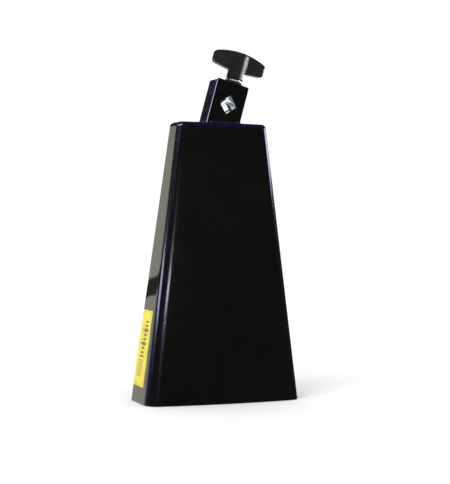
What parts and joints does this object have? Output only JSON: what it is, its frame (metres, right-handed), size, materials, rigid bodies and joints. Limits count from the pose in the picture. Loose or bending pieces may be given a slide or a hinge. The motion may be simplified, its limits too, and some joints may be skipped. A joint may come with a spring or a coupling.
{
  "type": "cowbell",
  "caption": "Clapperless metal cowbell, flat and tapered, with a leaning rod clamp and T-handle on its crown.",
  "frame": {"origin": "middle of the mouth, in the plane of the mouth rim", "axes": "+Z from the mouth to the crown, -Y out of the broad front face, +X to the side the bracket leans towards"},
  "size_m": [0.1204, 0.0512, 0.2569],
  "materials": {
    "black_shell": "gloss black powder coat",
    "weld_black": "weld under gloss black coat",
    "chrome": "bright plated",
    "zinc": "bright zinc plated",
    "nylon_black": "matte",
    "plastic_black": "semi gloss moulded",
    "insert_brass": "turned",
    "label_yellow": "gloss laminated label"
  },
  "bodies": {
    "bell": {"bell_front_shell": "black_shell", "bell_rear_shell": "black_shell", "seam_weld_left": "weld_black", "seam_weld_right": "weld_black", "seam_weld_crown": "weld_black", "bracket_box": "black_shell", "bracket_top_plate": "black_shell", "bracket_weld_front": "weld_black", "bracket_weld_rear": "weld_black", "bracket_weld_left": "weld_black", "bracket_weld_right": "weld_black", "friction_washer": "nylon_black", "flat_washer": "zinc", "side_label": "label_yellow"},
    "handle": {"t_handle": "plastic_black", "handle_insert": "insert_brass"},
    "eye_bolt": {"eye_bolt": "chrome"}
  },
  "joints": [
    {"name": "handle_turn", "type": "hinge", "parent": "bell", "child": "handle", "pos_m": [0.01131, -0.002, 0.23414], "axis": [-0.2571, 0, -0.9664], "range_deg": [-432, 1152]},
    {"name": "eye_slide", "type": "slide", "parent": "bell", "child": "eye_bolt", "axis": [0.2571, 0, 0.9664], "range_m": [-0.0012, 0.0032]}
  ],
  "couplings": [
    {"joint": "handle_turn", "follows": "eye_slide", "rad_per_m": 6283.2}
  ]
}
